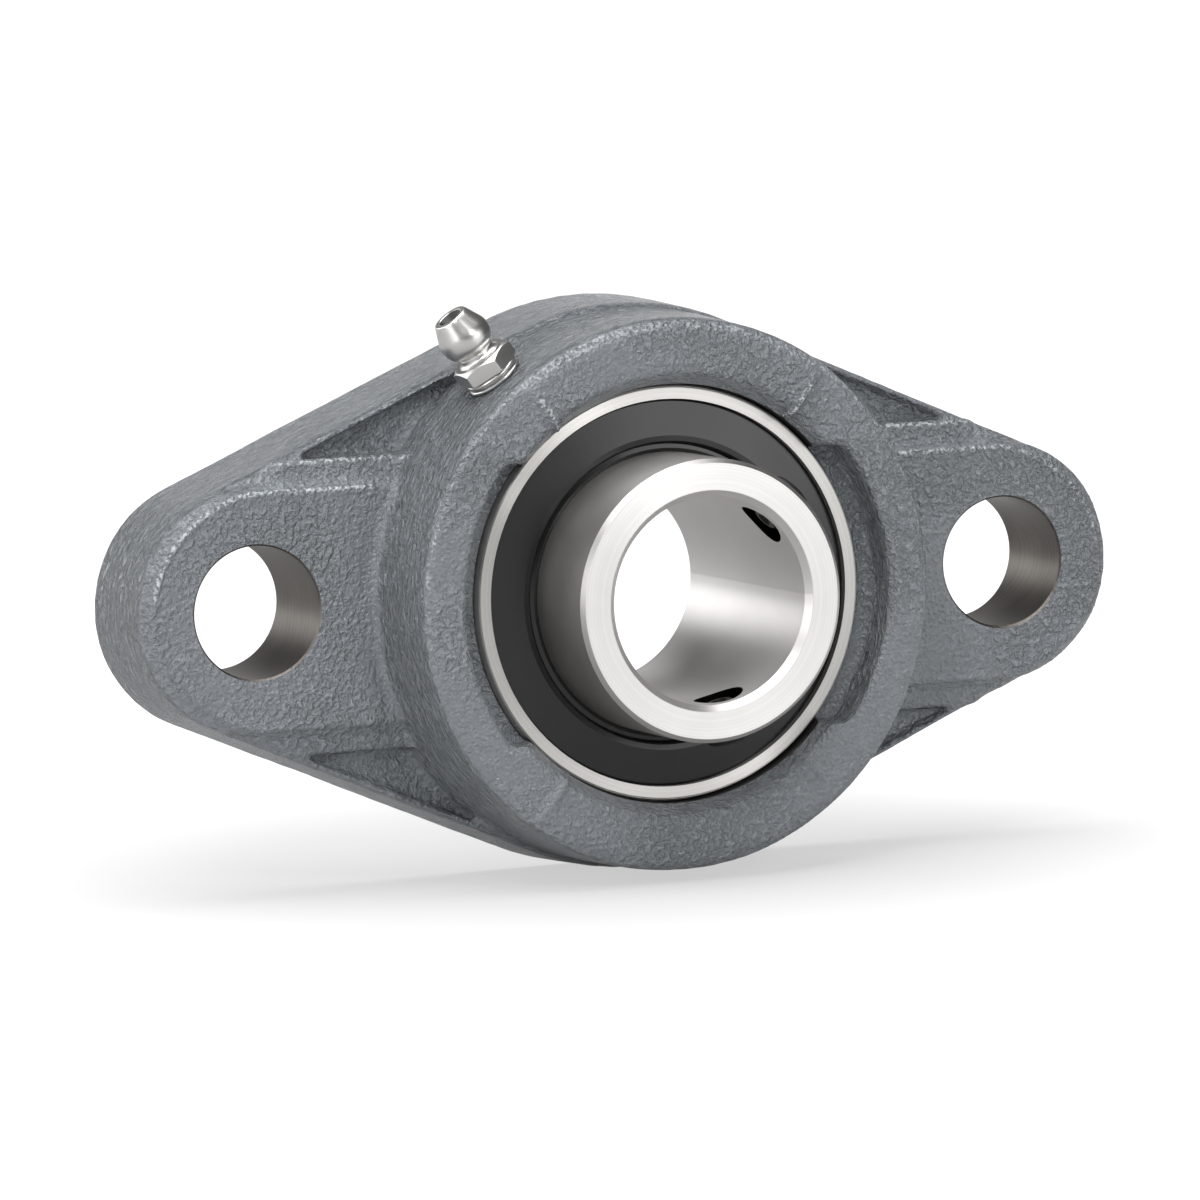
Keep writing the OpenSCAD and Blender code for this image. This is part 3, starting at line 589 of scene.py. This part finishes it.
# %% [markdown]
# ## The casting: a blank
# A casting has no sharp edges until it is machined: sand and enamel round them all. A bevel on
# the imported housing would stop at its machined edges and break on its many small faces. The blank
# is therefore the housing with its machined openings filled and its back thickened, remeshed into
# small even cells. Once it is soft, the openings are cut as on the lathe and the drill, so that
# their edges stay crisp and their walls are bare iron.

# %% Fill the housing's machined openings
BOLT_X, BOLT_R = 49.5, 8.0               # each bolt hole: its distance from the middle, its radius
PAD_TOP = 14.0         # height of the pads round the bolt holes
MID = 16.0             # height of the middle of the bearing
SEAT_R = 26.05         # radius of the spherical seat
FILL_LOW = -1.4        # the fillers start behind the mounting face
FILL_TURN = 21.8       # height at which the seat's filler leaves the sphere for the mouth
REAR_FILL_R = 28.25    # radius of that filler in the opening of the mounting face
MOUTH_FILL = [(24.95, 22.0), (24.95, 24.2), (0.0, 24.2)]     # and its end in the mouth
SEAT_LAP, BOLT_LAP = 0.7, 0.5            # how far the fillers reach into the metal
EXTRA_BACK = 1.5       # how far a second copy of the housing stands behind the first
JOIN = 1e-6            # corners of its loose triangles that are closer than this, in metres, are one


def ball_line(radius, low, high, count=24):
    """Points along the sphere round the middle of the bearing, between two heights."""
    heights = [low + (high - low) * i / count for i in range(count + 1)]
    return [(math.sqrt(radius ** 2 - (h - MID) ** 2), h) for h in heights]


def housing_copy():
    """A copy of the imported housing, with its loose triangles joined."""
    shape = bmesh.new()
    shape.from_mesh(frame["nodes"]["housing"].data)
    bmesh.ops.remove_doubles(shape, verts=shape.verts, dist=JOIN)
    return shape


def cast_blank():
    """The housing as one lump of overlapping bodies, without its machined openings."""
    lump = housing_copy()
    behind = housing_copy()
    bmesh.ops.translate(behind, verts=behind.verts, vec=(0, EXTRA_BACK * MM, 0))
    seat_fill = ball_line(SEAT_R + SEAT_LAP, FILL_LOW, FILL_TURN)[1:]
    bodies = [behind, turned([(0.0, FILL_LOW), (REAR_FILL_R, FILL_LOW)] + seat_fill + MOUTH_FILL)]
    bolt_fill = [(0, FILL_LOW), (BOLT_R + BOLT_LAP, FILL_LOW), (BOLT_R + BOLT_LAP, PAD_TOP), (0, PAD_TOP)]
    bodies += [turned(bolt_fill, x=side * BOLT_X) for side in (-1, 1)]
    for body in bodies:
        mesh = bpy.data.meshes.new("filler")
        body.to_mesh(mesh)
        body.free()
        lump.from_mesh(mesh)
        bpy.data.meshes.remove(mesh)
    return lump


CAST_FINISHES = [cast_paint, bare_iron, painted_shade_coat]
# the third finish is painted shade, near black
PAINTED, BARE, DARK_SHADE = 0, 1, 2
casting = to_object(cast_blank(), "cast_housing", CAST_FINISHES)
print("blank vertices:", len(casting.data.vertices))

# %% Remesh
CELL = 0.43            # size of a cell of the casting's mesh, in millimetres
cells = casting.modifiers.new("cells", "REMESH")
cells.mode = "VOXEL"
cells.voxel_size = CELL * MM
settle(casting)
print("cells:", len(casting.data.polygons))

# %% [markdown]
# ## The casting: what the mould leaves
# The flat top of each pad ends in a crest, past which the rim at the tip of the lug falls by
# almost half a millimetre. Fine ridges run along the crests, along the ledges beside the sunk
# webs, and across the boss face where its higher parts end. They are too slim to model one by
# one on a lumpy skin, so small functions say how far the skin falls or stands out at a point.

# %% Rims and ridges of the casting
PAD_CREST_R = 14.2     # where the flat top of a pad ends, measured from its bolt hole
END_SHIFT = 0.9        # how much nearer to the hole it ends at the tip of the lug
END_REACH = 8.0        # distance past the hole's middle from which that holds in full
CREST_DROP = 0.45      # how far the rim round a pad lies below its top
FALL_WIDTH = 0.7       # width of the slope from the top to the rim
FALL_DEPTH, FALL_FADE = 3.0, 2.0         # only what is this close below the top falls, fading in
BEAD, BEAD_HALF = 0.30, 0.32             # height and half width of the ridges
FLANGE_LOW = 8.5       # the flange's ridges lie higher than this
FLANGE_FACING = -0.2   # and where the normal points further than this towards the nose
CREST_FROM = 34.0      # a pad's crest starts this far from the middle
LEDGE_FROM, LEDGE_TO = 27.0, 50.0        # where the ledges lie along X
LEDGE_HIGH = PAD_TOP - 0.5               # and up to which height
RIDGE_Z = 17.4         # line between the ledge beside a pad and the sunk web
FACE_LOW = 25.0        # what is higher than this belongs to the boss face
FACE_FACING = -0.5     # and its normal points further than this towards the nose
STEP_ANGLE = 54.0      # where the higher parts of the boss face end, from the long axis
STEP_SHARE = 1.5       # how much higher the ridge on those lines is than the others
STEP_REACH, STEP_FADE = 31.5, 2.0        # it fades out before this distance from the shaft
FADE = 6.0             # length over which a ridge on the flange, or its painted highlight, fades


def clamp(value):
    """Keeps a number between 0 and 1."""
    return min(max(value, 0.0), 1.0)


def past_crest(at):
    """How far a point lies outside the flat top of its pad, in millimetres."""
    beyond = max(abs(at.x) - BOLT_X, 0.0)
    return math.hypot(beyond, at.z) - PAD_CREST_R + END_SHIFT * clamp(beyond / END_REACH)


def rim_fall(at):
    """How far the skin falls round a pad's top, towards the tip of the lug only."""
    fall = clamp(past_crest(at) / FALL_WIDTH)
    fall *= fall * (3 - 2 * fall) * clamp((-at.y - PAD_TOP + FALL_DEPTH) / FALL_FADE)
    return CREST_DROP * fall * clamp((abs(at.x) - BOLT_X) / FADE)


def ridge_height(at, normal):
    """How high the mould's ridges stand at a point, as a share of BEAD."""
    bead = 0.0
    if -at.y > FLANGE_LOW and normal.y < FLANGE_FACING:
        if abs(at.x) > CREST_FROM:
            bead = math.exp(-(past_crest(at) / BEAD_HALF) ** 2)
        if LEDGE_FROM < abs(at.x) < LEDGE_TO and -at.y < LEDGE_HIGH:
            ledge = math.exp(-((abs(at.z) - RIDGE_Z) / BEAD_HALF) ** 2)
            bead += ledge * clamp((LEDGE_TO - abs(at.x)) / FADE)
    if -at.y > FACE_LOW and normal.y < FACE_FACING:
        out = math.hypot(at.x, at.z)
        polar = math.degrees(math.atan2(abs(at.z), abs(at.x)))
        off = out * math.sin(math.radians(polar - STEP_ANGLE))
        bead = STEP_SHARE * math.exp(-(off / BEAD_HALF) ** 2) * clamp((STEP_REACH - out) / STEP_FADE)
    return bead


print("a pad's crest stands", BEAD, "mm high and", 2 * BEAD_HALF, "mm wide")

# %% [markdown]
# ## The casting: soft edges
# One pass of smoothing rounds every edge, and more passes give the sunk webs their wide fillets.
# Then each point moves along its normal by the ridges and by two kinds of slow noise, because no
# sand mould is true, and the height of the ridge is kept as an attribute that paints a highlight
# on it. The edge of the boss face gets some of that painted highlight too. Below the shaft the
# ridges lie in shade and the real ones don't stand out, so the painted highlight fades away there.

# %% Soften the casting
SWELL, SWELL_SIZE = 0.08, 9.0            # slow unevenness of the mould: height and size
PEEL, PEEL_SIZE = 0.035, 1.5             # lumps of a millimetre or two: height and size
PEEL_SHIFT = Vector((31, 7, 5))          # keeps the lumps from following the swell
SKIN_IN = 0.05         # the whole skin lies this much deeper, so that it stays inside the CAD
WEB_PASSES = 14        # how often the sunk webs are smoothed
WEB_FROM, WEB_TO = 24.0, 52.0            # where the webs lie along X
WEB_LOW, WEB_HIGH = 6.0, PAD_TOP - 0.3   # between which heights
WEB_Z = RIDGE_Z - 1.5                    # and how far out along Z they start
EDGE_R = 29.0          # the edge of the boss face is farther out than this
EDGE_FACING = (-0.94, -0.72)             # how its normals point along Y
EDGE_HIGHLIGHT = 0.55      # how strong its painted highlight is, as a share of a ridge's
HIGHLIGHT_FROM = -2.0      # ridges get a painted highlight above this place along Z, and lie in shade below it


def smooth(shape, verts):
    """One pass that moves each point halfway to the middle of its neighbours."""
    bmesh.ops.smooth_vert(shape, verts=verts, factor=0.5, use_axis_x=True, use_axis_y=True,
                          use_axis_z=True)


def in_web(at):
    """Whether a point, in metres, lies in one of the sunk webs beside the pads."""
    return (WEB_FROM < abs(at.x) / MM < WEB_TO and WEB_LOW < -at.y / MM < WEB_HIGH
            and abs(at.z) / MM > WEB_Z)


def soften(mesh):
    """Rounds the casting's edges and pushes its skin in and out."""
    shape = bmesh.new()
    shape.from_mesh(mesh)
    crest_highlight = shape.verts.layers.float.new("crest_highlight")
    smooth(shape, shape.verts)
    webs = [vert for vert in shape.verts if in_web(vert.co)]
    for _ in range(WEB_PASSES):
        smooth(shape, webs)
    shape.normal_update()
    for vert in shape.verts:
        at = vert.co * 1000          # in millimetres
        vert.co.y += rim_fall(at) * MM
        bead = ridge_height(at, vert.normal)
        # painted highlight on the ridges and the boss face's edge, fading out below the shaft where they lie
        # in shade
        on_edge = (-at.y > FACE_LOW and math.hypot(at.x, at.z) > EDGE_R
                   and EDGE_FACING[0] < vert.normal.y < EDGE_FACING[1])
        light = max(min(bead, 1.0), EDGE_HIGHLIGHT if on_edge else 0.0)
        vert[crest_highlight] = light * clamp((at.z - HIGHLIGHT_FROM) / FADE)
        swell = BEAD * bead + noise.noise(at / SWELL_SIZE) * SWELL
        peel = noise.noise(at / PEEL_SIZE + PEEL_SHIFT) * PEEL
        vert.co += vert.normal * (swell + peel - SKIN_IN) * MM
    for face in shape.faces:
        face.smooth = True
        face.material_index = PAINTED
    shape.to_mesh(mesh)
    shape.free()


soften(casting.data)
print("softened vertices:", len(casting.data.vertices))

# %% [markdown]
# ## The casting: machining
# The mounting face is milled flat, the seat is bored as part of a sphere through the mouth, the
# back is opened behind it, the bolt holes are drilled and chamfered, and a small hole takes the
# nipple. Each cutter is a body whose faces carry the finish that it leaves: bare iron, or a near
# black painted shade that shows as a thin dark gap round the outer ring.

# %% Cutters
SEAT_LOW = 7.7         # height at which the seat starts
SEAT_EDGE = math.sqrt(SEAT_R ** 2 - (SEAT_LOW - MID) ** 2)
SEAT_END = 21.9        # height at which the seat ends, below the mouth
MOUTH_R, MOUTH_FROM = 25.3, 23.0         # the mouth above the seat
REAR_R = 27.0          # opening in the mounting face
CHAMFER = 0.9          # at the top of the bolt holes
PAST_BACK, PAST_FACE, PAST_PAD = -3.0, 29.0, 20.0    # heights at which cutters end in the air
SLAB_SIDE, SLAB_DEPTH = 200.0, 10.0      # what the mill takes off behind the mounting face
NIPPLE_ANGLE, NIPPLE_Y = 127.0, 19.0     # where the nipple stands, and its height
NIPPLE_HOLE_R, NIPPLE_HOLE_DEPTH = 3.0, 14.0
NIPPLE_HOLE_AT = 34.0  # distance of the hole's middle from the shaft


def cutter(shape, name, finish=BARE):
    """A body whose faces carry the finish that it leaves behind."""
    for face in shape.faces:
        face.material_index = finish
    return to_object(shape, name, CAST_FINISHES)


slab = bmesh.new()
bmesh.ops.create_cube(slab, size=1.0)
slab_size = Matrix.Diagonal((SLAB_SIDE * MM, SLAB_DEPTH * MM, SLAB_SIDE * MM, 1))
behind_face = Matrix.Translation((0, SLAB_DEPTH / 2 * MM, 0)) @ slab_size
bmesh.ops.transform(slab, matrix=behind_face, verts=slab.verts)
# the seat and the rear opening overlap by a hair, so that no skin is left between them
seat_line = [(0.0, SEAT_LOW - 0.02), (SEAT_EDGE, SEAT_LOW - 0.01)]
seat_line += ball_line(SEAT_R, SEAT_LOW, SEAT_END)[1:]
seat_line += [(MOUTH_R, MOUTH_FROM), (MOUTH_R, PAST_FACE), (0.0, PAST_FACE)]
rear_line = [(0.0, PAST_BACK), (REAR_R + 2.5, PAST_BACK), (REAR_R + 2.5, -0.9), (REAR_R, 0.6),
             (SEAT_EDGE + 0.05, SEAT_LOW - 0.6), (SEAT_EDGE + 0.05, SEAT_LOW + 0.1), (0.0, SEAT_LOW + 0.1)]
bolt_line = [(0.0, PAST_BACK), (BOLT_R, PAST_BACK), (BOLT_R, PAD_TOP - 0.28),
             (BOLT_R + CHAMFER, PAD_TOP - 0.28 + CHAMFER), (BOLT_R + CHAMFER, PAST_PAD), (0.0, PAST_PAD)]
leaning = Matrix.Rotation(math.radians(-NIPPLE_ANGLE), 4, "Y")
along_nipple = leaning @ Matrix.Translation((0, -NIPPLE_Y * MM, 0))
hole = bmesh.new()
bmesh.ops.create_cone(hole, cap_ends=True, segments=64, radius1=NIPPLE_HOLE_R * MM,
                      radius2=NIPPLE_HOLE_R * MM, depth=NIPPLE_HOLE_DEPTH * MM)
bmesh.ops.transform(hole, matrix=along_nipple @ Matrix.Rotation(math.radians(90), 4, "Y")
                    @ Matrix.Translation((0, 0, NIPPLE_HOLE_AT * MM)), verts=hole.verts)
cutters = [
    cutter(slab, "rear_face_cut"),
    # the seat's faces get the painted shade, which shows as a thin dark gap round the outer ring
    cutter(turned(seat_line, 192), "seat_cut", DARK_SHADE),
    cutter(turned(rear_line, 192), "rear_cut"),
    cutter(turned(bolt_line, 128, -BOLT_X), "left_bolt_cut"),
    cutter(turned(bolt_line, 128, BOLT_X), "right_bolt_cut"),
    cutter(hole, "nipple_hole_cut"),
]
print("cutters:", [body.name for body in cutters])

# %% Cut the machined openings
for body in cutters:
    combine(casting, body, "DIFFERENCE")
    print("faces after a cut:", len(casting.data.polygons))

# %% [markdown]
# ## The casting: mounting
# A machined edge is sharp all round, and a soft one there would bend the light over the flat face
# beside it. So every edge between two finishes is marked sharp, and so is each corner inside the
# machined faces. The cast skin keeps its soft shading. Then the casting stands in for the CAD
# housing and rides on its body.

# %% Mount the casting
MACHINED_SHARP = 30.0  # corners of machined faces that turn by more degrees than this are sharp
shape = bmesh.new()
shape.from_mesh(casting.data)
for edge in shape.edges:
    kinds = {face.material_index for face in edge.link_faces}
    flush = len(kinds) == 1 and edge.calc_face_angle(0.0) < math.radians(MACHINED_SHARP)
    edge.smooth = kinds == {PAINTED} or flush
shape.to_mesh(casting.data)
shape.free()
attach(casting, "housing")
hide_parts("housing")
print("casting faces:", len(casting.data.polygons))

# %% [markdown]
# ## The grease nipple
# A nipple is turned from bar: two coarse turns of thread show at its foot, then comes the hexagon,
# a short neck, and the head that the grease gun grips. The body is one profile spun about its own
# axis, with its corners cut twice so that it looks rolled. The two turns of thread are plain
# rings in it, because their slope is too small to see. The recess at the tip is painted dark as shade.

# %% Turned body of the nipple
RECESS_R = 1.45        # what is nearer to the nipple's axis is painted dark as shade
CORNER_CUT = 0.22      # share of a side that each cut takes
# the outside as (radius, height) from the foot over thread, neck and head, then down the inside
nipple_line = [(2.4, -5.0), (2.9, -4.4), (2.9, -0.1), (3.5, 0.15), (3.5, 0.5), (2.95, 0.7), (3.5, 0.9),
               (3.5, 1.2), (3.1, 1.5), (3.1, 3.3), (2.3, 3.75), (2.2, 4.4), (2.75, 4.9), (3.15, 5.6),
               (3.3, 6.4), (3.2, 7.2), (2.75, 8.2), (2.2, 9.45), (2.05, 9.6), (1.55, 9.6), (1.1, 9.1),
               (0.55, 8.65), (1.0, 7.9), (1.0, -5.0)]


def rounded(line, passes):
    """Cuts the corners of a closed line by a share of their sides."""
    for _ in range(passes):
        line = [((1 - t) * a[0] + t * b[0], (1 - t) * a[1] + t * b[1])
                for a, b in zip(line, line[1:] + line[:1]) for t in (CORNER_CUT, 1 - CORNER_CUT)]
    return line


body = turned(rounded(nipple_line, 2), closed=True)
# painted shade in the recess at the tip
for face in body.faces:
    middle = face.calc_center_median()
    face.material_index = 1 if math.hypot(middle.x, middle.z) < RECESS_R * MM else 0
nipple = to_object(body, "grease_nipple", [nickel, painted_shade_coat])
print("faces of the turned body:", len(nipple.data.polygons))

# %% [markdown]
# The hexagon is a prism of six sides with softened edges. On the lathe its corners are turned off
# at both ends, which leaves the round arcs on its sides, so the prism is cut back to what it
# shares with a lens-shaped body.

# %% Hexagon of the nipple
HEX_LOW, HEX_HIGH = 1.4, 3.5             # heights above the nipple's seat
HEX_CORNER = 3.5 / math.cos(math.radians(30))
HEX_TURN = 30.0        # turns its flat sides as the photograph shows them
HEX_EDGE = 0.1         # how far its edges are softened
prism = bmesh.new()
bmesh.ops.create_cone(prism, cap_ends=True, segments=6, radius1=HEX_CORNER * MM, radius2=HEX_CORNER * MM,
                      depth=(HEX_HIGH - HEX_LOW) * MM)
bmesh.ops.bevel(prism, geom=prism.edges, affect="EDGES", offset=HEX_EDGE * MM, segments=2, profile=0.5,
                material=-1)
laid = Matrix.Rotation(math.radians(90), 4, "X") @ Matrix.Rotation(math.radians(HEX_TURN), 4, "Z")
bmesh.ops.transform(prism, matrix=Matrix.Translation((0, -(HEX_LOW + HEX_HIGH) / 2 * MM, 0)) @ laid,
                    verts=prism.verts)
hexagon = to_object(prism, "hexagon", [nickel])
lens_line = [(0.0, HEX_LOW - 0.1), (3.6, HEX_LOW - 0.1), (4.2, HEX_LOW + 0.4), (4.2, HEX_HIGH - 0.6),
             (3.2, HEX_HIGH + 0.1), (0.0, HEX_HIGH + 0.1)]
combine(hexagon, to_object(turned(lens_line), "lens", [nickel]), "INTERSECT")
combine(nipple, hexagon, "UNION")
print("faces with the hexagon:", len(nipple.data.polygons))

# %% [markdown]
# The nipple was made upright on the shaft's axis, where it is easy to measure. Now it leans to
# its place on the boss, takes over from the CAD nipple and rides on the housing.

# %% Mount the nipple
NIPPLE_SEAT = 33.38    # distance of the nipple's seat from the shaft
NIPPLE_SHARP = 24.0    # edges that turn by more degrees than this are sharp
outward = Matrix.Rotation(math.radians(90), 4, "Z")
on_boss = along_nipple @ Matrix.Translation((NIPPLE_SEAT * MM, 0, 0)) @ outward
shape = bmesh.new()
shape.from_mesh(nipple.data)
bmesh.ops.transform(shape, matrix=on_boss, verts=shape.verts)
for face in shape.faces:
    face.smooth = True
for edge in shape.edges:
    edge.smooth = edge.calc_face_angle(0.0) < math.radians(NIPPLE_SHARP)
shape.to_mesh(nipple.data)
shape.free()
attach(nipple, "housing")
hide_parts("nipple_body")
print("nipple faces:", len(nipple.data.polygons))
